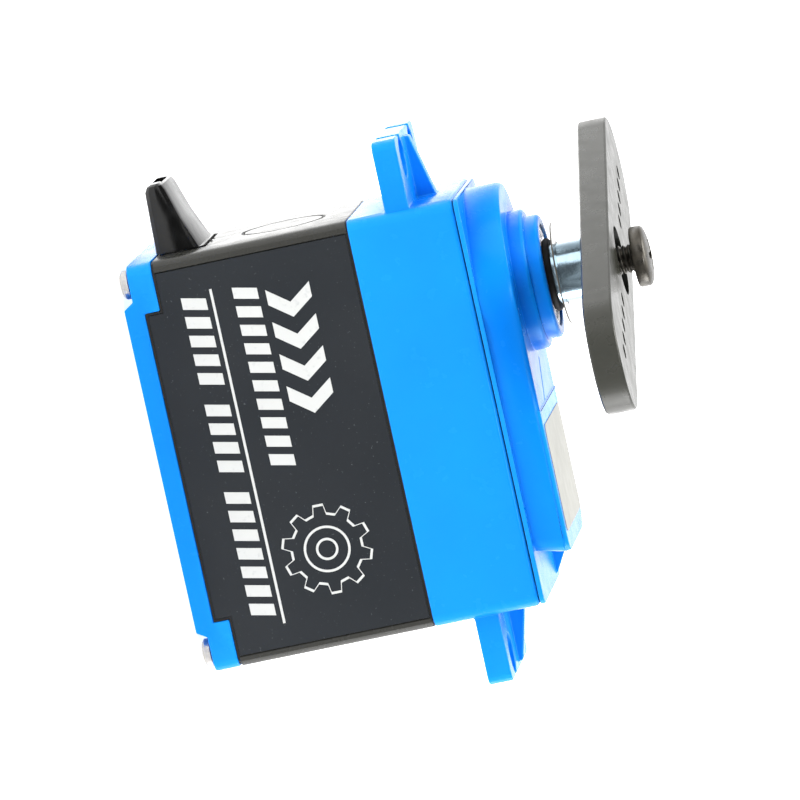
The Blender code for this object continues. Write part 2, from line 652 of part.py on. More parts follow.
def motor(paint):
    can = turned([(2.5 * MM, 23.9 * MM), (2.5 * MM, MOTOR_TOP), (7.6 * MM, MOTOR_TOP),
                  (MOTOR_RADIUS, MOTOR_TOP - 0.4 * MM), (MOTOR_RADIUS, MOTOR_BOTTOM + 0.6 * MM),
                  (7.4 * MM, MOTOR_BOTTOM + 0.6 * MM), (7.4 * MM, MOTOR_TOP - MM),
                  (1.0 * MM, MOTOR_TOP - MM), (1.0 * MM, 23.9 * MM)])
    shell = add_object("motor_can", can, paint["motor_steel"], MOTOR_X)
    holes = [moved(cylinder(0.9 * MM, 20 * MM, 24 * MM, SMALL_ROUND), 0, y)
             for y in (-MOTOR_SCREW_Y, MOTOR_SCREW_Y)]
    carve(shell, together(holes), "screw_holes")
    cap = turned([(7.3 * MM, 7.0 * MM), (7.3 * MM, 6.1 * MM), (MOTOR_RADIUS, 6.1 * MM),
                  (MOTOR_RADIUS, MOTOR_BOTTOM), (0.85 * MM, MOTOR_BOTTOM), (0.85 * MM, 7.0 * MM)])
    add_object("motor_end_cap", cap, paint["black_plastic"], MOTOR_X)
    for number, turn in enumerate((0, 180), 1):
        outline = arc(0, 0, 7.3 * MM, turn + 20, turn + 160, 16)
        outline += arc(0, 0, 6.2 * MM, turn + 160, turn + 20, 16)
        add_object(f"motor_magnet_{number}", prism(outline, 8.5 * MM, 20.5 * MM), paint["ferrite"],
                   MOTOR_X)
    shaft = turned([(0, 26.6 * MM), (0.72 * MM, 26.6 * MM), (0.72 * MM, 9.2 * MM), (2.1 * MM, 9.2 * MM),
                    (2.1 * MM, 7.3 * MM), (0.72 * MM, 7.3 * MM), (0.72 * MM, 5.8 * MM), (0, 5.8 * MM)],
                   20)
    rotor = add_object("motor_rotor", shaft, paint["copper"], MOTOR_X)
    merge(rotor, prism(rotor_core_outline(), 9.0 * MM, 20.0 * MM), "core")
    for number, y in enumerate((-6.2 * MM, 6.2 * MM), 1):
        tab = box(-0.8 * MM, 0.8 * MM, -0.15 * MM, 0.15 * MM, 3.2 * MM, MOTOR_BOTTOM - FIT)
        add_object(f"motor_terminal_{number}", moved(tab, MOTOR_X, y), paint["gear_brass"])
    for number, y in enumerate((-MOTOR_SCREW_Y, MOTOR_SCREW_Y), 1):
        seat = DECK_TOP + FIT
        profile = [(0, seat + 0.8 * MM), (1.2 * MM, seat + 0.8 * MM), (1.4 * MM, seat + 0.5 * MM),
                   (1.4 * MM, seat), (0.8 * MM, seat), (0.8 * MM, 21.3 * MM), (0, 21.3 * MM)]
        add_object(f"motor_screw_{number}", moved(turned(profile, SMALL_ROUND), MOTOR_X, y), paint["zinc_steel"])


# Gear train


def gear_train(paint):
    pinion = prism(pinion_outline(MOTOR_TEETH, MOTOR_MODULE, 180), 24.7 * MM, 26.35 * MM)
    gear = add_object("motor_pinion", pinion, paint["gear_brass"], MOTOR_X)
    carve(gear, cylinder(0.82 * MM, 20 * MM, 30 * MM, 20), "bore")

    pin = turned([(0, 35.6 * MM), (0.8 * MM, 35.6 * MM), (0.98 * MM, 35.4 * MM),
                  (0.98 * MM, 23.9 * MM), (0.8 * MM, 23.7 * MM), (0, 23.7 * MM)], 20)
    add_object("idler_pin", pin, paint["shaft_steel"], IDLER_X)

    wheel = prism(wheel_outline(FIRST_TEETH, MOTOR_MODULE, 0), 24.75 * MM, 26.15 * MM)
    gear = add_object("first_gear", wheel, paint["gear_brass"], IDLER_X)
    merge(gear, prism(pinion_outline(FIRST_PINION, GEAR_MODULE, 180), 26.0 * MM, 28.45 * MM), "pinion")
    carve(gear, cylinder(1.1 * MM, 20 * MM, 30 * MM, 20), "bore")

    wheel = prism(wheel_outline(SECOND_TEETH, GEAR_MODULE, 0), 26.5 * MM, 28.3 * MM)
    gear = add_object("second_gear", wheel, paint["gear_steel"], OUTPUT_X)
    merge(gear, prism(pinion_outline(SECOND_PINION, GEAR_MODULE, 0), 28.1 * MM, 30.6 * MM), "pinion")
    carve(gear, cylinder(1.6 * MM, 20 * MM, 32 * MM, 20), "bore")

    wheel = prism(wheel_outline(THIRD_TEETH, GEAR_MODULE, 180), 28.75 * MM, 30.55 * MM)
    gear = add_object("third_gear", wheel, paint["gear_steel"], IDLER_X)
    merge(gear, prism(pinion_outline(THIRD_PINION, GEAR_MODULE, 180), 30.4 * MM, 33.9 * MM), "pinion")
    carve(gear, cylinder(1.1 * MM, 20 * MM, 36 * MM, 20), "bore")

    wheel = prism(wheel_outline(OUTPUT_TEETH, GEAR_MODULE, 0), 31.0 * MM, 33.8 * MM)
    gear = add_object("output_gear", wheel, paint["gear_steel"], OUTPUT_X)
    carve(gear, cylinder(2.5 * MM, 20 * MM, 36 * MM, 32), "bore")


def output_shaft(paint):
    body = turned([(0, 44.3 * MM), (2.7 * MM, 44.3 * MM), (SHAFT_RADIUS, 44.05 * MM),
                   (SHAFT_RADIUS, 35.3 * MM), (3.7 * MM, 35.3 * MM), (3.7 * MM, 34.0 * MM),
                   (2.4 * MM, 34.0 * MM), (2.4 * MM, 30.9 * MM), (STEM_RADIUS, 30.9 * MM),
                   (STEM_RADIUS, 20.3 * MM), (0, 20.3 * MM)])
    shaft = add_object("output_shaft", body, paint["shaft_steel"], OUTPUT_X)
    merge(shaft, prism(spline_outline(2.68 * MM, 2.9 * MM), 44.0 * MM, SHAFT_TOP), "spline")
    carve(shaft, cylinder(1.45 * MM, 39 * MM, 50 * MM, 24), "tapped_hole")
    seal = turned([(3.9 * MM, 41.0 * MM), (3.9 * MM, 40.75 * MM), (3.1 * MM, 40.45 * MM),
                   (3.1 * MM, 41.25 * MM), (3.7 * MM, 41.25 * MM)])
    add_object("shaft_seal", seal, paint["black_rubber"], OUTPUT_X)
    washer = tube(3.1 * MM, 4.9 * MM, 41.45 * MM, 41.6 * MM, 36)
    add_object("thrust_washer", washer, paint["shaft_steel"], OUTPUT_X)


def bearing(name, paint, bore, outer, bottom, top, ball_radius, ball_count):
    """A ball bearing about the output shaft: two races and a caged ring of balls."""
    path = (bore + outer) / 2
    middle = (bottom + top) / 2

    def race(wall, shoulder, bed):
        profile = [(wall, top), (wall, bottom), (shoulder, bottom), (bed, middle), (shoulder, top)]
        return turned(profile)

    add_object(f"{name}_outer_race", race(outer, path + 1.1 * ball_radius, path + 1.4 * ball_radius),
               paint["bearing_steel"], OUTPUT_X)
    add_object(f"{name}_inner_race", race(bore, path - 1.1 * ball_radius, path - 1.4 * ball_radius),
               paint["bearing_steel"], OUTPUT_X)
    cage = tube(path - 0.3 * ball_radius, path + 0.3 * ball_radius, middle - 0.3 * ball_radius,
                middle + 0.3 * ball_radius, 2 * ball_count)
    ring = add_object(f"{name}_balls", cage, paint["bearing_steel"], OUTPUT_X)
    balls = []
    for number in range(ball_count):
        ball = bmesh.new()
        bmesh.ops.create_uvsphere(ball, u_segments=8, v_segments=5, radius=ball_radius)
        angle = 2 * math.pi * (number + 0.5) / ball_count
        balls.append(moved(ball, path * math.cos(angle), path * math.sin(angle), middle))
    merge(ring, together(balls), "balls")


def bearings(paint):
    bearing("lower_bearing", paint, 1.55 * MM, 3.0 * MM, 22.1 * MM, 24.4 * MM, 0.3 * MM, 7)
    bearing("upper_bearing", paint, 3.05 * MM, 5.0 * MM, 37.35 * MM, 40.3 * MM, 0.45 * MM, 8)


# Horn


def servo_horn(paint):
    chamfer = 0.15 * MM
    plate = prism(horn_outline(), HORN_BOTTOM, HORN_TOP)
    horn = add_object("servo_horn", plate, paint["horn_plastic"], OUTPUT_X)
    horn_edge = horn.modifiers.new("edge", "BEVEL")
    horn_edge.width = chamfer
    horn_edge.segments = 1
    horn_edge.limit_method = "ANGLE"
    horn_edge.angle_limit = math.radians(60)
    carve(horn, prism(spline_outline(2.78 * MM, 3.0 * MM), 43 * MM, HORN_SEAT), "spline_bore")
    carve(horn, cylinder(COUNTERBORE_RADIUS, HORN_SEAT - 0.05 * MM, 49 * MM, 32), "counterbore")
    holes = []
    for reach in HORN_HOLES:
        for side in (-1, 1):
            x = side * reach * math.cos(HORN_ANGLE)
            y = side * reach * math.sin(HORN_ANGLE)
            holes.append(moved(cylinder(HORN_HOLE_RADIUS, 43 * MM, 49 * MM, 10), x, y))
    carve(horn, together(holes), "arm_holes")
    head = [(0, HORN_SCREW_TOP), (1.4 * MM, HORN_SCREW_TOP - 0.1 * MM), (2.5 * MM, 50.0 * MM),
            (2.95 * MM, 49.6 * MM), (2.95 * MM, 49.2 * MM), (2.75 * MM, HORN_SCREW_HEAD),
            (1.32 * MM, HORN_SCREW_HEAD), (1.32 * MM, 42.3 * MM), (0.9 * MM, 41.8 * MM), (0, 41.8 * MM)]
    screw = add_object("horn_screw", turned(head, 24), paint["black_steel"], OUTPUT_X)
    carve(screw, cross_recess(0.6 * MM, 1.5 * MM, 49.6 * MM, 52 * MM), "recess")


def build():
    for item in list(bpy.data.objects):
        bpy.data.objects.remove(item, do_unlink=True)
    paint = make_materials()
    bottom_cover(paint)
    bottom_gasket(paint)
    middle_case(paint)
    side_label(paint)
    cable_boot(paint)
    flat_gasket("case_gasket", paint, MIDDLE_TOP + (SEAM - GASKET) / 2)
    gear_case(paint)
    flat_gasket("top_gasket", paint, GEAR_CASE_TOP + (SEAM - GASKET) / 2)
    top_cover(paint)
    case_screws(paint)
    control_board(paint)
    position_sensor(paint)
    motor(paint)
    gear_train(paint)
    output_shaft(paint)
    bearings(paint)
    servo_horn(paint)


build()
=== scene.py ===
"""Looks for the hobby servo motor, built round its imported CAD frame.

The servo stands on its bottom cover, with the output shaft pointing up. X runs along the case, with the
shaft and the cable boot at the -X end, and the label is on the -Y side. Lengths are in metres.
"""

import json
import math
import random

import bmesh
import bpy
from mathutils import Matrix, Vector

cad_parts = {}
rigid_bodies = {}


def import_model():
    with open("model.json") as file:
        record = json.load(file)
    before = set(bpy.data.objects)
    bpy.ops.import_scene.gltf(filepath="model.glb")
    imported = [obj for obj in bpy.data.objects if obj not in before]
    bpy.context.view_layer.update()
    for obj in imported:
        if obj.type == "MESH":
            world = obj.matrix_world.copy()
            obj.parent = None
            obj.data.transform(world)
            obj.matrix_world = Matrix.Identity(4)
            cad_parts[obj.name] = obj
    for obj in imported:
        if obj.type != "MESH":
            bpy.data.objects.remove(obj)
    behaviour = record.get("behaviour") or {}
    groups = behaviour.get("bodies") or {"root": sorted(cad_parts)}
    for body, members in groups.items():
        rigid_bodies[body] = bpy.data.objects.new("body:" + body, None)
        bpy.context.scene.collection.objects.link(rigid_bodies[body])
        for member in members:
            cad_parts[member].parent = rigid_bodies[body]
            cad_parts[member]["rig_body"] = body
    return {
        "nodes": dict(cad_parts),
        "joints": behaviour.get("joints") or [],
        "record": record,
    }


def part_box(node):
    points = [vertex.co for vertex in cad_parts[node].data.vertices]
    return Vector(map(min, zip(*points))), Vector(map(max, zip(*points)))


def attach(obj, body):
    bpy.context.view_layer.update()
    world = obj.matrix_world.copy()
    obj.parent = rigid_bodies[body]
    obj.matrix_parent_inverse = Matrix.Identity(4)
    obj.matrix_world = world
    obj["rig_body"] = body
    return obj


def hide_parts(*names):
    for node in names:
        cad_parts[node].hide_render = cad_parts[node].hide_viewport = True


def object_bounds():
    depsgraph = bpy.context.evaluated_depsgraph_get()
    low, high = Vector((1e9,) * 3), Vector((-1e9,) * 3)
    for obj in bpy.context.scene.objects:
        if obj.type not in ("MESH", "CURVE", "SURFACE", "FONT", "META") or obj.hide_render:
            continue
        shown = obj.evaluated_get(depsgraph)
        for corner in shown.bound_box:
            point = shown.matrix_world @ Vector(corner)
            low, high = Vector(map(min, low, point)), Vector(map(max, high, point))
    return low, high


MM = 0.001

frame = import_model()
cad_low, cad_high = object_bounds()
nodes = frame["nodes"]
record_joints = {joint["name"]: joint for joint in frame["joints"]}

# Places read from the frame
SHAFT_X = record_joints["output_turn"]["pos_m"][0]
LABEL_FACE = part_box("side_label")[0].y
CASE_LOW, CASE_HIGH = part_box("middle_case")
BOTTOM_COVER_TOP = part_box("bottom_cover")[1].z
GEAR_CASE_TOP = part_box("gear_case")[1].z
HORN_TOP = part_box("servo_horn")[1].z
SCREW_LOW, SCREW_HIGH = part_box("horn_screw")
MIDDLE = (cad_low + cad_high) / 2

# Horn: its turn at rest, and how far from the shaft each arm's scale marks are
HORN_ANGLE = math.radians(-67.9)
HORN_MARKS = [(8.0 + 2.6 * number) * MM for number in range(5)]
MARK_OFFSET = 2.1 * MM
MARK_WIDTH = 0.24 * MM
MARK_LENGTH = 1.0 * MM

# Horn screw
THREAD_RADIUS = 1.42 * MM
THREAD_DEPTH = 0.24 * MM
THREAD_PITCH = 0.5 * MM
HEAD_BOTTOM = 48.85 * MM
HEAD_RIM = 49.85 * MM
HEAD_OVER = Vector((0.05, 0.0, 0.15)) * MM
RECESS_BOTTOM = 49.6 * MM
RECESS_REACH = 1.5 * MM
RECESS_WIDTH = 0.62 * MM

# Seams: their width in the solids and in the finish
SEAM = 0.3 * MM
FINE_SEAM = 0.06 * MM

# Heights of the top cover, in the solid and in the finish
SOLID_FLANGE_TOP = 34.45 * MM
FLANGE_TOP = 34.08 * MM
SOLID_PAD_TOP = 37.9 * MM
PAD_TOP = 37.55 * MM
PAD_END_SHIFT = 0.6 * MM

# Depth of the print on the label: how far it sinks in and stands out
INK_LOW = -0.01 * MM
INK_HIGH = 0.012 * MM

# Camera: a long lens, turned on its side, so that the shaft points to the right
CAMERA_TARGET = Vector((-1.10, -0.10, 23.31)) * MM
CAMERA_DISTANCE = 883.5 * MM
CAMERA_AZIMUTH = math.radians(-96.42)
CAMERA_ELEVATION = math.radians(6.73)
CAMERA_ROLL = math.radians(78.32)
LENS = 405.0
SENSOR = 36.0

# Brightness of the floor and of the light tent
FLOOR_GLOW_FRONT = 0.05
FLOOR_GLOW_BACK = 1.4
TENT_GLOW_FRONT = 0.15
TENT_GLOW_BACK = 1.8


# Materials


def new_material(name):
    """A material with its node tree and its Principled shader."""
    material = bpy.data.materials.new(name)
    material.use_nodes = True
    return material, material.node_tree, material.node_tree.nodes["Principled BSDF"]


def node(tree, kind, settings=None, inputs=None):
    """A shader node with its settings and unlinked inputs."""
    made = tree.nodes.new(kind)
    for key, value in (settings or {}).items():
        setattr(made, key, value)
    for key, value in (inputs or {}).items():
        made.inputs[key].default_value = value
    return made


def place_on_object(tree, stretch=(1, 1, 1)):
    """Object coordinates, stretched along the axes."""
    coordinates = node(tree, "ShaderNodeTexCoord")
    mapping = node(tree, "ShaderNodeMapping", inputs={"Scale": stretch})
    tree.links.new(coordinates.outputs["Object"], mapping.inputs["Vector"])
    return mapping.outputs["Vector"]


def noise(tree, vector, size, detail=2.0, distortion=0.0):
    """Noise whose features are about size metres across."""
    made = node(tree, "ShaderNodeTexNoise",
                inputs={"Scale": 1 / size, "Detail": detail, "Distortion": distortion})
    tree.links.new(vector, made.inputs["Vector"])
    return made.outputs["Fac"]


def mapped(tree, value, low, high, from_low=0.0, from_high=1.0):
    """A socket's range from_low to from_high, spread over low to high."""
    made = node(tree, "ShaderNodeMapRange", inputs={"From Min": from_low, "From Max": from_high,
                                                    "To Min": low, "To Max": high})
    tree.links.new(value, made.inputs["Value"])
    return made.outputs["Result"]


def mixed(tree, factor, first, second):
    """A colour mix. factor is a socket, and first and second are colours or sockets."""
    made = node(tree, "ShaderNodeMix", {"data_type": "RGBA"})
    tree.links.new(factor, made.inputs[0])
    for index, value in ((6, first), (7, second)):
        if isinstance(value, tuple):
            made.inputs[index].default_value = (*value, 1.0)
        else:
            tree.links.new(value, made.inputs[index])
    return made.outputs[2]


def bump(tree, shader, layers):
    """Stacks (height socket, strength, distance) layers into the shader's normal."""
    last = None
    for height, strength, distance in layers:
        made = node(tree, "ShaderNodeBump", inputs={"Strength": strength, "Distance": distance})
        tree.links.new(height, made.inputs["Height"])
        if last:
            tree.links.new(last, made.inputs["Normal"])
        last = made.outputs["Normal"]
    tree.links.new(last, shader.inputs["Normal"])


def scratches(tree, vector, size, share):
    """Thin curved lines: 1 on a line and 0 elsewhere."""
    height = noise(tree, vector, size, 1.0, 0.6)
    away = node(tree, "ShaderNodeMath", {"operation": "SUBTRACT"}, {1: 0.5})
    tree.links.new(height, away.inputs[0])
    size_of = node(tree, "ShaderNodeMath", {"operation": "ABSOLUTE"})
    tree.links.new(away.outputs[0], size_of.inputs[0])
    return mapped(tree, size_of.outputs[0], 1.0, 0.0, 0.0, share)


def shaded(colour, factor):
    return tuple(min(1.0, part * factor) for part in colour)


def moulded_plastic(name, colour, roughness, grain=0.12 * MM, depth=0.004 * MM, edge_wear_and_highlight=None,
                    specular=0.5, reflection=(1.0, 1.0, 1.0)):
    """Injection-moulded plastic: slow colour drift, fine speckle, a spark-eroded grain, and edges
    lightened as painted highlight and wear.
    """
    material, tree, shader = new_material(name)
    where = place_on_object(tree)
    drift = noise(tree, where, 9 * MM, 3.0)
    dark = shaded(colour, 0.92)
    light = shaded(colour, 1.08)
    base = mixed(tree, mapped(tree, drift, 0, 1, 0.3, 0.7), dark, light)
    speckle = noise(tree, where, 0.35 * MM, 4.0)
    base = mixed(tree, mapped(tree, speckle, 0.0, 0.2, 0.50, 0.9), base, light)
    # Edges lightened by Pointiness towards the given colour: painted highlight along the edges, which on
    # the black mouldings and the horn also stands for light wear.
    if edge_wear_and_highlight:
        geometry = node(tree, "ShaderNodeNewGeometry")
        edge = mapped(tree, geometry.outputs["Pointiness"], 0.0, 0.55, 0.505, 0.56)
        base = mixed(tree, edge, base, edge_wear_and_highlight)
    tree.links.new(base, shader.inputs["Base Color"])
    patches = noise(tree, where, 1.6 * MM, 4.0)
    rough = mapped(tree, patches, roughness * 0.82, roughness * 1.2, 0.3, 0.7)
    tree.links.new(rough, shader.inputs["Roughness"])
    shader.inputs["Specular IOR Level"].default_value = specular
    shader.inputs["Specular Tint"].default_value = (*reflection, 1.0)
    bump(tree, shader, [(noise(tree, where, grain, 3.0), 0.4, depth),
                        (noise(tree, where, 6 * MM, 2.0), 0.12, 0.05 * MM)])
    return material


def metal(name, colour, roughness, stretch=(1, 1, 14)):
    """Turned or drawn metal: fine tool marks across the stretched axis, a little tarnish."""
    material, tree, shader = new_material(name)
    where = place_on_object(tree)
    lines = noise(tree, place_on_object(tree, stretch), 0.7 * MM, 5.0)
    tarnish = noise(tree, where, 2.2 * MM, 5.0)
    base = mixed(tree, mapped(tree, tarnish, 0.0, 0.7, 0.42, 0.75), colour, shaded(colour, 0.67))
    tree.links.new(base, shader.inputs["Base Color"])
    shader.inputs["Metallic"].default_value = 1.0
    rough = mapped(tree, lines, roughness * 0.7, roughness * 1.35, 0.3, 0.7)
    tree.links.new(rough, shader.inputs["Roughness"])
    bump(tree, shader, [(lines, 0.5, 0.003 * MM), (tarnish, 0.3, 0.004 * MM)])
    return material


def black_oxide_steel():
    """Blackened steel with brown oil stains and paler rubbed edges."""
    material, tree, shader = new_material("black_oxide_steel")
    where = place_on_object(tree)
    cloud = noise(tree, where, 0.8 * MM, 5.0)
    base = mixed(tree, mapped(tree, cloud, 0.0, 1.0, 0.35, 0.7), (0.014, 0.013, 0.011),
                 (0.055, 0.048, 0.036))
    geometry = node(tree, "ShaderNodeNewGeometry")
    edge = mapped(tree, geometry.outputs["Pointiness"], 0.0, 0.8, 0.51, 0.60)
    tree.links.new(mixed(tree, edge, base, (0.16, 0.145, 0.12)), shader.inputs["Base Color"])
    shader.inputs["Metallic"].default_value = 0.5
    tree.links.new(mapped(tree, cloud, 0.22, 0.45, 0.3, 0.7), shader.inputs["Roughness"])
    bump(tree, shader, [(noise(tree, where, 0.25 * MM, 4.0), 0.5, 0.006 * MM)])
    return material


def label_film():
    """Satin black film with a fine weave of print dots, dust and hair scratches."""
    material, tree, shader = new_material("label_film_black")
    where = place_on_object(tree)
    cloud = noise(tree, where, 12 * MM, 3.0)
    base = mixed(tree, mapped(tree, cloud, 0.0, 1.0, 0.3, 0.7), (0.005, 0.008, 0.012),
                 (0.010, 0.013, 0.017))
    dust = mapped(tree, noise(tree, where, 0.22 * MM, 2.0), 0.0, 0.35, 0.70, 0.80)
    base = mixed(tree, dust, base, (0.16, 0.17, 0.18))
    tree.links.new(base, shader.inputs["Base Color"])
    fine = scratches(tree, place_on_object(tree, (0.5, 1.0, 1.8)), 4 * MM, 0.006)
    rough = mapped(tree, noise(tree, where, 3 * MM, 4.0), 0.36, 0.50, 0.3, 0.7)
    tree.links.new(rough, shader.inputs["Roughness"])
    shader.inputs["Specular IOR Level"].default_value = 0.26
    bump(tree, shader, [(noise(tree, where, 0.16 * MM, 2.0), 0.3, 0.002 * MM), (fine, 0.3, -0.002 * MM)])
    return material


def print_ink():
    """Screen-printed white ink, a little thin where it has rubbed."""
    material, tree, shader = new_material("white_ink")
    where = place_on_object(tree)
    thin = mapped(tree, noise(tree, where, 0.5 * MM, 5.0), 0.0, 0.6, 0.60, 0.85)
    base = mixed(tree, thin, (0.56, 0.57, 0.56), (0.34, 0.36, 0.37))
    tree.links.new(base, shader.inputs["Base Color"])
    shader.inputs["Roughness"].default_value = 0.42
    bump(tree, shader, [(noise(tree, where, 0.12 * MM, 3.0), 0.4, 0.003 * MM)])
    return material


def rubber(name, colour, roughness):
    """Moulded rubber or sintered ferrite: cloudy, uneven and finely pitted."""
    material, tree, shader = new_material(name)
    where = place_on_object(tree)
    cloud = noise(tree, where, 1.8 * MM, 4.0)
    base = mixed(tree, mapped(tree, cloud, 0.0, 1.0, 0.4, 0.8), colour, shaded(colour, 2.4))
    tree.links.new(base, shader.inputs["Base Color"])
    rough = mapped(tree, cloud, roughness * 0.8, roughness * 1.2, 0.3, 0.7)
    tree.links.new(rough, shader.inputs["Roughness"])
    shader.inputs["Specular IOR Level"].default_value = 0.25
    bump(tree, shader, [(noise(tree, where, 0.2 * MM, 4.0), 0.6, 0.008 * MM),
                        (noise(tree, where, 1.4 * MM, 2.0), 0.5, 0.04 * MM)])
    return material


def circuit_board():
    """Green solder resist over faint tracks."""
    material, tree, shader = new_material("solder_resist")
    where = place_on_object(tree)
    tracks = node(tree, "ShaderNodeTexBrick", {"offset": 0.5},
                  {"Scale": 1 / (5 * MM), "Mortar Size": 0.04, "Mortar Smooth": 0.1})
    tree.links.new(where, tracks.inputs["Vector"])
    base = mixed(tree, tracks.outputs["Fac"], (0.008, 0.095, 0.038), (0.022, 0.19, 0.075))
    speckle = mapped(tree, noise(tree, where, 0.4 * MM, 3.0), 0.0, 0.3, 0.5, 0.8)
    tree.links.new(mixed(tree, speckle, base, (0.03, 0.15, 0.07)), shader.inputs["Base Color"])
    shader.inputs["Roughness"].default_value = 0.35
    bump(tree, shader, [(tracks.outputs["Fac"], 0.5, 0.03 * MM)])
    return material


def copper_windings():
    """Enamelled wire, wound round the poles of the rotor."""
    material, tree, shader = new_material("copper_windings")
    where = place_on_object(tree)
    strands = node(tree, "ShaderNodeTexWave", {"wave_type": "BANDS", "bands_direction": "DIAGONAL"},
                   {"Scale": 1 / (1.6 * MM), "Distortion": 1.2, "Detail": 2.0})
    tree.links.new(where, strands.inputs["Vector"])
    base = mixed(tree, strands.outputs["Fac"], (0.30, 0.10, 0.035), (0.78, 0.34, 0.15))
    tree.links.new(base, shader.inputs["Base Color"])
    shader.inputs["Metallic"].default_value = 1.0
    shader.inputs["Roughness"].default_value = 0.33
    bump(tree, shader, [(strands.outputs["Fac"], 0.6, 0.05 * MM)])
    return material


def make_materials():
    """Every material by name. The CAD nodes that still show look theirs up by slot."""
    return {
        # The cyan edge colour of the blue plastic is a painted highlight along its edges.
        "blue_plastic": moulded_plastic("blue_moulded_plastic", (0.002, 0.195, 0.78), 0.24,
                                        edge_wear_and_highlight=(0.01, 0.30, 0.85), specular=0.22,
                                        reflection=(0.3, 0.85, 1.0)),
        "black_plastic": moulded_plastic("black_moulded_plastic", (0.010, 0.010, 0.009), 0.26,
                                         edge_wear_and_highlight=(0.04, 0.04, 0.035), specular=0.2),
        "horn_plastic": moulded_plastic("horn_nylon", (0.012, 0.013, 0.009), 0.30, grain=0.2 * MM,
                                        depth=0.008 * MM, edge_wear_and_highlight=(0.05, 0.05, 0.04), specular=0.4),
        "chip_black": moulded_plastic("chip_moulding", (0.014, 0.014, 0.015), 0.5),
        "wire_white": moulded_plastic("wire_insulation", (0.75, 0.74, 0.70), 0.45),
        "capacitor_sleeve": moulded_plastic("capacitor_sleeve_film", (0.020, 0.030, 0.110), 0.3),
        "sensor_green": moulded_plastic("sensor_moulding", (0.030, 0.170, 0.090), 0.4),
        "ferrite": rubber("sintered_ferrite", (0.035, 0.033, 0.032), 0.65),
        "black_rubber": rubber("seal_rubber", (0.010, 0.010, 0.010), 0.6),
        "boot_rubber": rubber("boot_rubber", (0.003, 0.003, 0.003), 0.20),
        "label_film": label_film(),
        "white_ink": print_ink(),
        "black_steel": black_oxide_steel(),
        "shaft_steel": metal("ground_shaft_steel", (0.40, 0.54, 0.64), 0.18),
        "washer_steel": metal("washer_steel", (0.60, 0.62, 0.64), 0.14),
        "pale_plate": moulded_plastic("pale_plate_film", (0.36, 0.36, 0.34), 0.55, specular=0.1),
        "zinc_steel": metal("zinc_plated_steel", (0.50, 0.48, 0.45), 0.36, (2, 2, 2)),
        "gear_steel": metal("machined_gear_steel", (0.40, 0.40, 0.42), 0.30, (1, 1, 20)),
        "gear_brass": metal("machined_brass", (0.72, 0.52, 0.20), 0.28, (1, 1, 20)),
        "bearing_steel": metal("polished_bearing_steel", (0.62, 0.62, 0.64), 0.14),
        "motor_steel": metal("drawn_motor_steel", (0.48, 0.49, 0.50), 0.30, (9, 9, 1)),
        "copper": copper_windings(),
        "board_green": circuit_board(),
    }


# Meshes


def level_mover(levels):
    """A mover for the points at each old height, from (old, new) heights."""
    def move(point):
        for old, new in levels:
            if abs(point.z - old) < 0.01 * MM:
                point.z = new
    return move


def cleaned_mesh(source, move=None):
    """A copy of a CAD node's mesh with its flat faces whole. move may shift each point a little."""
    mesh = bmesh.new()
    mesh.from_mesh(nodes[source].data)
    bmesh.ops.remove_doubles(mesh, verts=mesh.verts, dist=0.002 * MM)
    bmesh.ops.dissolve_limit(mesh, angle_limit=math.radians(0.5), verts=mesh.verts, edges=mesh.edges)
    if move:
        for vert in mesh.verts:
            move(vert.co)
    return mesh


def add_piece(name, mesh, material, body, smooth=35):
    """A piece that rides on a CAD body. Edges over smooth degrees stay sharp."""
    data = bpy.data.meshes.new(name)
    mesh.to_mesh(data)
    mesh.free()
    data.materials.clear()
    data.materials.append(material)
    data.shade_smooth()
    data.set_sharp_from_angle(angle=math.radians(smooth))
    piece = bpy.data.objects.new(name, data)
    bpy.context.scene.collection.objects.link(piece)
    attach(piece, body)
    return piece


def round_edges(piece, width, angle=35, segments=3):
    """Rounds the edges that are sharper than angle degrees."""
    edge = piece.modifiers.new("rounded_edges", "BEVEL")
    edge.width = width
    edge.segments = segments
    edge.limit_method = "ANGLE"
    edge.angle_limit = math.radians(angle)
    edge.use_clamp_overlap = False
    edge.harden_normals = True


def refined(source, name, material, width, move=None, angle=35, segments=3):
    """A CAD node's shape with its edges rounded, shown in place of the node."""
    piece = add_piece(name, cleaned_mesh(source, move), material, nodes[source]["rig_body"])
    round_edges(piece, width, angle, segments)
    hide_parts(source)
    return piece


def circle_outline(centre_u, centre_v, radius, steps=48):
    turns = [2 * math.pi * i / steps for i in range(steps)]
    return [(centre_u + radius * math.cos(a), centre_v + radius * math.sin(a)) for a in turns]


def wrapped_mesh(loops):
    """A closed band through loops of places, with the last loop joined to the first."""
    mesh = bmesh.new()
    rings = [[mesh.verts.new(place) for place in loop] for loop in loops]
    for first, second in zip(rings, rings[1:] + rings[:1]):
        for i in range(len(first)):
            j = (i + 1) % len(first)
            mesh.faces.new((first[i], first[j], second[j], second[i]))
    bmesh.ops.recalc_face_normals(mesh, faces=mesh.faces)
    return mesh


def prism_mesh(outlines, low, high, point):
    """Flat shapes given thickness. point turns (u, v, height) into a place."""
    mesh = bmesh.new()
    for outline in outlines:
        lower = [mesh.verts.new(point(u, v, low)) for u, v in outline]
        upper = [mesh.verts.new(point(u, v, high)) for u, v in outline]
        mesh.faces.new(lower)
        mesh.faces.new(upper)
        for i in range(len(lower)):
            j = (i + 1) % len(lower)
            mesh.faces.new((lower[i], lower[j], upper[j], upper[i]))
    bmesh.ops.recalc_face_normals(mesh, faces=mesh.faces)
    return mesh


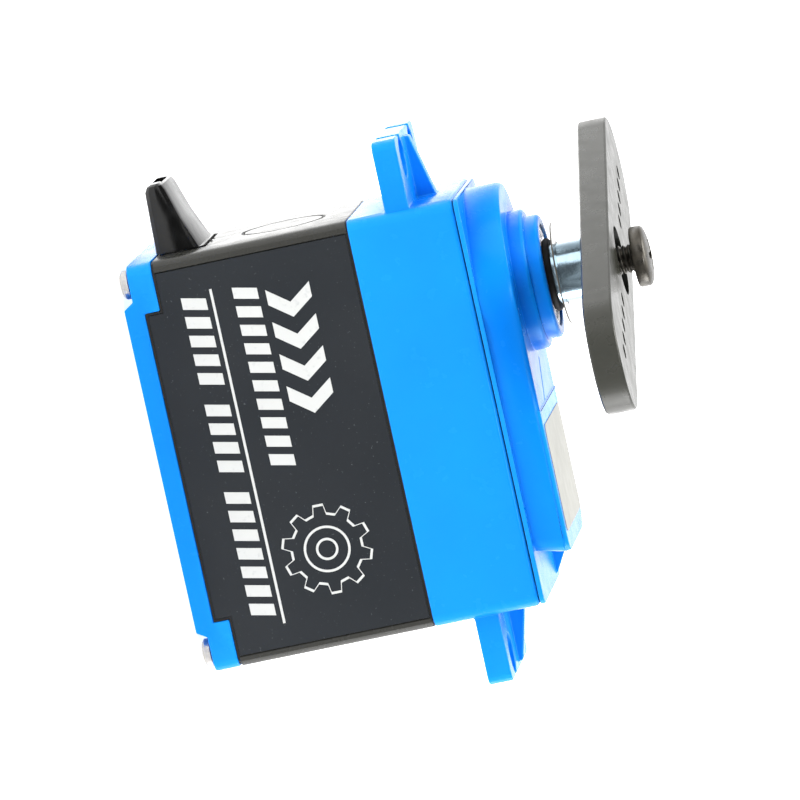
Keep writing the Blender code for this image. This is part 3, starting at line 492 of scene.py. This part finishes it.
def turned_mesh(profile, steps, x=0.0):
    """A solid turned about the upright line at x, from (radius, z) points."""
    mesh = bmesh.new()
    rings = []
    for radius, z in profile:
        outline = circle_outline(x, 0.0, radius, steps) if radius else [(x, 0.0)]
        rings.append([mesh.verts.new((u, v, z)) for u, v in outline])
    for first, second in zip(rings, rings[1:]):
        for i in range(steps):
            j = (i + 1) % steps
            corners = [first[i % len(first)], first[j % len(first)], second[j % len(second)],
                       second[i % len(second)]]
            mesh.faces.new(list(dict.fromkeys(corners)))
    bmesh.ops.recalc_face_normals(mesh, faces=mesh.faces)
    return mesh


# Pieces


def top_cover_mover():
    """Thins the flange, and makes the platform a little longer and lower than the solid."""
    levels = level_mover([(GEAR_CASE_TOP + SEAM, GEAR_CASE_TOP + FINE_SEAM),
                          (SOLID_FLANGE_TOP, FLANGE_TOP),
                          (SOLID_FLANGE_TOP + 0.1 * MM, FLANGE_TOP + 0.12 * MM),
                          (SOLID_PAD_TOP, PAD_TOP),
                          (SOLID_PAD_TOP - 0.6 * MM, PAD_TOP - 0.02 * MM)])

    def move(point):
        on_pad_end = 11 * MM < point.x < 15.3 * MM
        if on_pad_end and point.z > 35 * MM:
            point.x += PAD_END_SHIFT
        levels(point)
    return move


def case_pieces(paint):
    """The four mouldings, with narrow seams where two of them meet."""
    half = (SEAM - FINE_SEAM) / 2
    blue = paint["blue_plastic"]
    middle_levels = [(CASE_LOW.z, CASE_LOW.z - half),
                     (BOTTOM_COVER_TOP + SEAM, BOTTOM_COVER_TOP + SEAM - half),
                     (CASE_HIGH.z, CASE_HIGH.z + half)]
    gear_case_bottom = CASE_HIGH.z + SEAM
    gear_case_levels = [(gear_case_bottom, gear_case_bottom - half)]
    refined("bottom_cover", "bottom_cover_moulding", blue, 0.16 * MM)
    refined("middle_case", "middle_case_moulding", paint["black_plastic"], 0.14 * MM,
            level_mover(middle_levels))
    refined("gear_case", "gear_case_moulding", blue, 0.18 * MM,
            level_mover(gear_case_levels))
    refined("top_cover", "top_cover_moulding", blue, 0.10 * MM, top_cover_mover())


def rounded_rectangle(x0, x1, half_y, corner, steps=6):
    """An outline between x0 and x1, and as far to each side of the X axis, with round corners."""
    outline = []
    centres = ((x1 - corner, corner - half_y, -90), (x1 - corner, half_y - corner, 0),
               (x0 + corner, half_y - corner, 90), (x0 + corner, corner - half_y, 180))
    for x, y, start in centres:
        for step in range(steps + 1):
            angle = math.radians(start + 90 * step / steps)
            outline.append((x + corner * math.cos(angle), y + corner * math.sin(angle)))
    return outline


def top_plate(paint):
    """A thin pale plate let into the flat top of the platform."""
    outline = rounded_rectangle(3.2 * MM, 13.9 * MM, 8.7 * MM, 0.8 * MM)
    plate = prism_mesh([outline], PAD_TOP - 0.05 * MM, PAD_TOP + 0.08 * MM,
                       lambda u, v, height: (u, v, height))
    piece = add_piece("top_plate", plate, paint["pale_plate"], nodes["top_cover"]["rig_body"])
    round_edges(piece, 0.03 * MM, 40, 2)


def slanted_bars(x0, x1, z0, z1, width, groups, gap=0.0):
    """Groups of slanted bars between x0 and x1, with a wider space after each group."""
    lean = 0.5 * MM
    spaces = len(groups) - 1
    pitch = (x1 - x0 - lean - spaces * gap) / sum(groups)
    shapes = []
    x = x0
    for group in groups:
        for _ in range(group):
            shapes.append([(x, z0), (x + width, z0), (x + width + lean, z1), (x + lean, z1)])
            x += pitch
        x += gap
    return shapes


def chevrons(x0, z0, z1, count):
    pitch = 3.2 * MM
    thick = 1.5 * MM
    reach = 1.6 * MM
    middle = (z0 + z1) / 2
    shapes = []
    for number in range(count):
        x = x0 + number * pitch
        shapes.append([(x, z0), (x + thick, z0), (x + thick + reach, middle),
                       (x + thick, z1), (x, z1), (x + reach, middle)])
    return shapes


def label_shapes():
    """Generic print for the label: a rule, two rows of slanted bars and chevrons, as (x, z) shapes."""
    left = -16.3 * MM
    rule_z0, rule_z1 = 8.6 * MM, 8.85 * MM
    rule_x0, rule_x1 = -16.6 * MM, 16.9 * MM
    rule = [(rule_x0, rule_z0), (rule_x1, rule_z0), (rule_x1, rule_z1), (rule_x0, rule_z1)]
    low_row = slanted_bars(left, 16.7 * MM, 5.7 * MM, 8.1 * MM, 1.15 * MM, (5, 4, 7), 1.3 * MM)
    high_row = slanted_bars(left, 2.7 * MM, 10.8 * MM, 13.2 * MM, 1.1 * MM, (10,))
    return [rule] + low_row + high_row + chevrons(-15.4 * MM, 13.95 * MM, 18.3 * MM, 4)


def cog_outline(centre_x, centre_z, root, tip, teeth=10):
    """A cog's outline. A tooth is 0.60 of a pitch wide at its root and 0.36 at its tip."""
    outline = []
    for tooth in range(teeth):
        for radius, step in ((root, -0.30), (tip, -0.18), (tip, 0.18), (root, 0.30)):
            angle = 2 * math.pi * (tooth + step) / teeth
            outline.append((centre_x + radius * math.cos(angle), centre_z + radius * math.sin(angle)))
    return outline


def printed_line(outer, inner, point):
    """A thin printed line between two closed outlines with the same number of points."""
    return wrapped_mesh([[point(u, v, depth) for u, v in outline]
                         for outline, depth in ((outer, INK_LOW), (outer, INK_HIGH),
                                                (inner, INK_HIGH), (inner, INK_LOW))])


def label_pieces(paint):
    """The film, and the print on it."""
    refined("side_label", "side_label_film", paint["label_film"], 0.03 * MM)
    body = nodes["side_label"]["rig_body"]
    ink = paint["white_ink"]

    def on_label(u, v, depth):
        return (u, LABEL_FACE - depth, v)

    add_piece("label_marks", prism_mesh(label_shapes(), INK_LOW, INK_HIGH, on_label), ink, body)
    centre_x, centre_z = 10.6 * MM, 14.4 * MM
    root, tip = 3.6 * MM, 4.5 * MM
    line = 0.24 * MM
    cog = printed_line(cog_outline(centre_x, centre_z, root, tip),
                       cog_outline(centre_x, centre_z, root - line, tip - line), on_label)
    add_piece("label_cog_line", cog, ink, body)
    for number, radius in enumerate((2.3 * MM, 1.1 * MM), 1):
        circle = printed_line(circle_outline(centre_x, centre_z, radius),
                              circle_outline(centre_x, centre_z, radius - line), on_label)
        add_piece(f"label_circle_line_{number}", circle, ink, body)


def boot_mover(point):
    """Lets the part of the boot that stands outside the case sag a little."""
    sag = 0.38 * MM
    if point.x < CASE_LOW.x - 0.1 * MM:
        point.z -= sag


def boot_pieces(paint):
    """The boot, with softly rounded edges."""
    boot = refined("cable_boot", "cable_boot_moulding", paint["boot_rubber"], 0.42 * MM,
                   boot_mover, 25, 4)
    boot.modifiers["rounded_edges"].use_clamp_overlap = True


def screw_pieces(paint):
    """The four case screws."""
    for number in range(1, 5):
        refined(f"case_screw_{number}", f"case_screw_{number}_steel", paint["zinc_steel"],
                0.06 * MM, None, 40, 2)


def horn_mark_outlines():
    """A short stroke on both sides of each hole, as shapes along and across the horn."""
    half_width, half_length = MARK_WIDTH / 2, MARK_LENGTH / 2
    outlines = []
    for side in (-1, 1):
        for reach in HORN_MARKS:
            for offset in (-1, 1):
                u, v = side * reach, offset * MARK_OFFSET
                outlines.append([(u - half_width, v - half_length), (u + half_width, v - half_length),
                                 (u + half_width, v + half_length), (u - half_width, v + half_length)])
    return outlines


def horn_pieces(paint):
    """The horn, and the strokes moulded a little under its top."""
    nylon = paint["horn_plastic"]
    horn = refined("servo_horn", "servo_horn_moulding", nylon, 0.07 * MM, None, 30, 2)
    horn.modifiers["rounded_edges"].use_clamp_overlap = True
    along = Vector((math.cos(HORN_ANGLE), math.sin(HORN_ANGLE)))
    across = Vector((-along.y, along.x))
    under_top = HORN_TOP - 0.05 * MM

    def on_horn(u, v, height):
        place = u * along + v * across
        return (SHAFT_X + place.x, place.y, under_top + height)

    mesh = prism_mesh(horn_mark_outlines(), 0.0, 0.049 * MM, on_horn)
    add_piece("horn_scale_ticks", mesh, nylon, nodes["servo_horn"]["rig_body"])


def thread_radius(turned, z):
    """The thread's radius at a height, turned a share of one turn round the shank."""
    phase = (z / THREAD_PITCH - turned) % 1
    crest = 1 - abs(2 * phase - 1)
    return THREAD_RADIUS - THREAD_DEPTH * (1 - min(1.0, 1.25 * crest))


def thread_mesh(low, high, steps=40, rows_per_turn=8):
    """A rod with a helical thread, closed at both ends."""
    mesh = bmesh.new()
    rows = int((high - low) / THREAD_PITCH * rows_per_turn)
    rings = []
    for row in range(rows + 1):
        z = low + (high - low) * row / rows
        ring = []
        for step in range(steps):
            angle = 2 * math.pi * step / steps
            radius = thread_radius(step / steps, z)
            place = (SHAFT_X + radius * math.cos(angle), radius * math.sin(angle), z)
            ring.append(mesh.verts.new(place))
        rings.append(ring)
    mesh.faces.new(rings[0])
    mesh.faces.new(rings[-1])
    for lower, upper in zip(rings, rings[1:]):
        for i in range(steps):
            j = (i + 1) % steps
            mesh.faces.new((lower[i], lower[j], upper[j], upper[i]))
    bmesh.ops.recalc_face_normals(mesh, faces=mesh.faces)
    return mesh


def cross_cutter(width, reach, low, high):
    """The shape of the driver's tip, to be cut out of the screw's head."""
    a, b = width / 2, reach
    outline = [(b, -a), (b, a), (a, a), (a, b), (-a, b), (-a, a),
               (-b, a), (-b, -a), (-a, -a), (-a, -b), (a, -b), (a, -a)]
    mesh = prism_mesh([outline], low, high, lambda u, v, height: (SHAFT_X + u, v, height))
    data = bpy.data.meshes.new("recess_cutter")
    mesh.to_mesh(data)
    mesh.free()
    cutter = bpy.data.objects.new("recess_cutter", data)
    bpy.context.scene.collection.objects.link(cutter)
    return cutter


def cut_away(piece, cutter):
    """Cuts the cutter's shape out of a piece for good, and removes the cutter."""
    cut = piece.modifiers.new("recess", "BOOLEAN")
    cut.operation = "DIFFERENCE"
    cut.solver = "EXACT"
    cut.object = cutter
    bpy.context.view_layer.update()
    graph = bpy.context.evaluated_depsgraph_get()
    piece.data = bpy.data.meshes.new_from_object(piece.evaluated_get(graph))
    piece.modifiers.clear()
    bpy.data.objects.remove(cutter, do_unlink=True)


def pan_head_profile(radius, top, steps=10):
    """From the middle of the domed top, down the side to the middle of the underside."""
    profile = [(0, top)]
    for step in range(1, steps + 1):
        turn = math.radians(90) * step / steps
        height = (top - HEAD_RIM) * math.cos(turn) ** 0.9
        profile.append((radius * math.sin(turn) ** 0.8, HEAD_RIM + height))
    profile += [(radius, HEAD_BOTTOM + 0.2 * MM), (radius - 0.12 * MM, HEAD_BOTTOM), (0, HEAD_BOTTOM)]
    return profile


def horn_screw_pieces(paint):
    """A pan head with a cross recess on a threaded shank."""
    body = nodes["horn_screw"]["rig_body"]
    steel = paint["black_steel"]
    top = SCREW_HIGH.z + HEAD_OVER.z
    radius = SCREW_HIGH.x - SHAFT_X + HEAD_OVER.x
    head_mesh = turned_mesh(pan_head_profile(radius, top), 48, SHAFT_X)
    head = add_piece("horn_screw_head", head_mesh, steel, body)
    cut_away(head, cross_cutter(RECESS_WIDTH, RECESS_REACH, RECESS_BOTTOM, top + 1 * MM))
    round_edges(head, 0.05 * MM, 40, 2)
    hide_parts("horn_screw")
    thread = thread_mesh(SCREW_LOW.z, HEAD_BOTTOM - 0.002 * MM)
    add_piece("horn_screw_thread", thread, steel, body, 80)


def flat_ring_mesh(inner, outer, low, high, edge, steps=64):
    """A flat ring about the shaft with its four edges broken by edge."""
    profile = [(outer - edge, high), (outer, high - edge), (outer, low + edge), (outer - edge, low),
               (inner + edge, low), (inner, low + edge), (inner, high - edge), (inner + edge, high)]
    return wrapped_mesh([[(u, v, z) for u, v in circle_outline(SHAFT_X, 0.0, radius, steps)]
                         for radius, z in profile])


def shaft_pieces(paint):
    """The shaft and the rings round it: a loose washer, the seal, the bearing's shield and its races."""
    refined("output_shaft", "output_shaft_steel", paint["shaft_steel"], 0.03 * MM,
            None, 40, 2)
    output = nodes["thrust_washer"]["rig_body"]
    housing = nodes["shaft_seal"]["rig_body"]
    washer = flat_ring_mesh(inner=3.1 * MM, outer=5.05 * MM, low=41.45 * MM, high=41.6 * MM,
                            edge=0.03 * MM)
    piece = add_piece("thrust_washer_steel", washer, paint["washer_steel"], output)
    # The washer's rim gets the black steel material: painted shade on a rim of the same steel as its
    # faces.
    piece.data.materials.append(paint["black_steel"])
    for face in piece.data.polygons:
        rim_painted_dark = abs(face.normal.z) < 0.9
        face.material_index = int(rim_painted_dark)
    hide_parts("thrust_washer")
    seal = flat_ring_mesh(inner=3.05 * MM, outer=3.6 * MM, low=40.35 * MM, high=41.0 * MM,
                          edge=0.15 * MM)
    piece = add_piece("shaft_seal_rubber", seal, paint["black_rubber"], housing)
    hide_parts("shaft_seal")
    shield = flat_ring_mesh(inner=3.7 * MM, outer=4.55 * MM, low=39.95 * MM, high=40.12 * MM,
                            edge=0.04 * MM)
    add_piece("upper_bearing_shield", shield, paint["bearing_steel"], housing)
    for race in ("outer_race", "inner_race"):
        refined(f"upper_bearing_{race}", f"upper_bearing_{race}_steel", paint["bearing_steel"],
                0.06 * MM, None, 30, 2)


def sealant_drops(paint):
    """Small drops of sealant along the foot of the cable boot."""
    random.seed(7)
    body = nodes["cable_boot"]["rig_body"]
    mesh = bmesh.new()
    foot_x = CASE_LOW.x - 0.03 * MM
    squash = Matrix.Diagonal((0.45, 1.0, 0.8, 1.0))
    for _ in range(9):
        size = random.uniform(0.10, 0.22) * MM
        place = Vector((foot_x, random.uniform(-5.4, 4.6) * MM, random.uniform(8.2, 8.7) * MM))
        bmesh.ops.create_icosphere(mesh, subdivisions=2, radius=size,
                                   matrix=Matrix.Translation(place) @ squash)
    add_piece("boot_sealant_drops", mesh, paint["boot_rubber"], body, 80)


def paint_cad_nodes(paint):
    """Every CAD node that still shows gets the detailed material of its slot."""
    slots = {part["node"]: part["material_slot"] for part in frame["record"]["subparts"]}
    for name, cad_node in nodes.items():
        if not cad_node.hide_render:
            for material_slot in cad_node.material_slots:
                material_slot.material = paint[slots[name]]


# Studio


def area_light(name, place, size, power, colour=(1, 1, 1)):
    """A round soft light that faces the middle of the object."""
    data = bpy.data.lights.new(name, "AREA")
    data.shape = "DISK"
    data.size = size
    data.energy = power
    data.color = colour
    light = bpy.data.objects.new(name, data)
    light.location = place
    light.rotation_euler = (MIDDLE - light.location).to_track_quat("-Z", "Y").to_euler()
    bpy.context.scene.collection.objects.link(light)


def floor_material():
    """Matt and pale. Its glow grows towards the back, as on a lit paper sweep."""
    material, tree, shader = new_material("pale_floor")
    shader.inputs["Base Color"].default_value = (0.85, 0.85, 0.85, 1)
    shader.inputs["Roughness"].default_value = 0.9
    shader.inputs["Specular IOR Level"].default_value = 0.0
    shader.inputs["Emission Color"].default_value = (1, 1, 1, 1)
    depth = node(tree, "ShaderNodeSeparateXYZ")
    tree.links.new(place_on_object(tree), depth.inputs[0])
    glow = mapped(tree, depth.outputs["Y"], FLOOR_GLOW_FRONT, FLOOR_GLOW_BACK, -0.16, 0.10)
    tree.links.new(glow, shader.inputs["Emission Strength"])
    return material


def pale_floor():
    """A wide flat floor, just under the object."""
    mesh = bmesh.new()
    bmesh.ops.create_grid(mesh, x_segments=1, y_segments=1, size=4.0)
    data = bpy.data.meshes.new("floor")
    mesh.to_mesh(data)
    mesh.free()
    data.materials.append(floor_material())
    floor = bpy.data.objects.new("floor", data)
    floor.location.z = cad_low.z - 0.05 * MM
    bpy.context.scene.collection.objects.link(floor)


def light_tent():
    """A white world that is brightest behind the object and beyond its far end."""
    world = bpy.data.worlds.new("studio")
    bpy.context.scene.world = world
    world.use_nodes = True
    sky = world.node_tree
    background = sky.nodes["Background"]
    background.inputs["Color"].default_value = (1.0, 1.0, 1.0, 1)
    towards = node(sky, "ShaderNodeTexCoord")
    depth = node(sky, "ShaderNodeSeparateXYZ")
    sky.links.new(towards.outputs["Generated"], depth.inputs[0])
    across = node(sky, "ShaderNodeMath", {"operation": "MULTIPLY_ADD"}, {1: 0.45})
    sky.links.new(depth.outputs["X"], across.inputs[0])
    sky.links.new(depth.outputs["Y"], across.inputs[2])
    glow = mapped(sky, across.outputs[0], TENT_GLOW_FRONT, TENT_GLOW_BACK, -0.2, 0.8)
    sky.links.new(glow, background.inputs["Strength"])


def soft_lights():
    """Lights by place in metres, size and power in watts."""
    area_light("overhead", Vector((-0.10, 0.10, 0.60)), 0.40, 3.4, (1.0, 0.99, 0.95))
    area_light("front_fill", Vector((0.10, -0.50, 0.44)), 0.26, 2.2)
    area_light("far_end_fill", Vector((0.55, 0.02, 0.10)), 0.34, 2.4)
    area_light("shaft_end_fill", Vector((-0.48, -0.24, 0.26)), 0.50, 1.4)


def camera():
    """Looks at the target from the photo's side, rolled about its own line of sight."""
    data = bpy.data.cameras.new("camera")
    data.lens = LENS
    data.sensor_width = SENSOR
    data.clip_start = 0.05
    data.clip_end = 20.0
    made = bpy.data.objects.new("camera", data)
    level = math.cos(CAMERA_ELEVATION)
    back = Vector((level * math.cos(CAMERA_AZIMUTH), level * math.sin(CAMERA_AZIMUTH),
                   math.sin(CAMERA_ELEVATION)))
    level_right = Vector((0, 0, 1)).cross(back).normalized()
    right = Matrix.Rotation(CAMERA_ROLL, 3, back) @ level_right
    turn = Matrix((right, back.cross(right), back)).transposed()
    place = CAMERA_TARGET + CAMERA_DISTANCE * back
    made.matrix_world = Matrix.Translation(place) @ turn.to_4x4()
    bpy.context.scene.collection.objects.link(made)
    bpy.context.scene.camera = made
    bpy.context.scene.view_settings.view_transform = "Standard"


camera()
pale_floor()
light_tent()
soft_lights()
paints = make_materials()
case_pieces(paints)
top_plate(paints)
label_pieces(paints)
boot_pieces(paints)
sealant_drops(paints)
screw_pieces(paints)
shaft_pieces(paints)
horn_pieces(paints)
horn_screw_pieces(paints)
paint_cad_nodes(paints)

bpy.context.view_layer.update()
